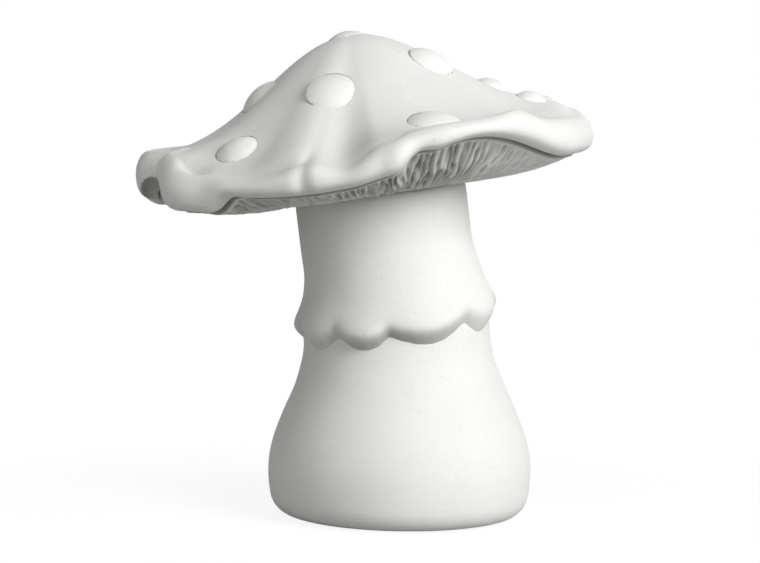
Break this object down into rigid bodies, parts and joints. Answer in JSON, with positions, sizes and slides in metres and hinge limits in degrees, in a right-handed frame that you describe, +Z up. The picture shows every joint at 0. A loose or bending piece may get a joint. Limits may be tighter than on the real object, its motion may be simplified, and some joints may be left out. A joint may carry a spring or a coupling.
{
  "type": "mushroom ornament",
  "caption": "Free-standing white bisque toadstool: hollow bulbous stalk with a scalloped skirt, leaning under a wavy-rimmed cap with radial gills and raised round spots.",
  "frame": {"origin": "middle of the flat foot, on the plane that it stands on", "axes": "+Z up; +X to the right and -Y towards the viewer, as in the picture, so the cap leans towards -X"},
  "size_m": [0.1673, 0.1636, 0.1803],
  "materials": {
    "stalk": "unglazed, fine matt",
    "gills": "unglazed, fine matt",
    "cap": "unglazed, fine matt",
    "spots": "unglazed, fine matt"
  },
  "bodies": {
    "root": {"stalk_base": "stalk", "stalk_collar": "stalk", "gill_disc": "gills", "cap_shell": "cap", "spot_crown": "spots", "spot_front": "spots", "spot_left": "spots", "spot_front_left": "spots", "spot_right_upper": "spots", "spot_front_right": "spots", "spot_right": "spots", "spot_right_low": "spots", "spot_right_edge": "spots", "spot_back_right": "spots", "spot_back": "spots", "spot_back_low": "spots", "spot_back_left": "spots"}
  },
  "joints": []
}
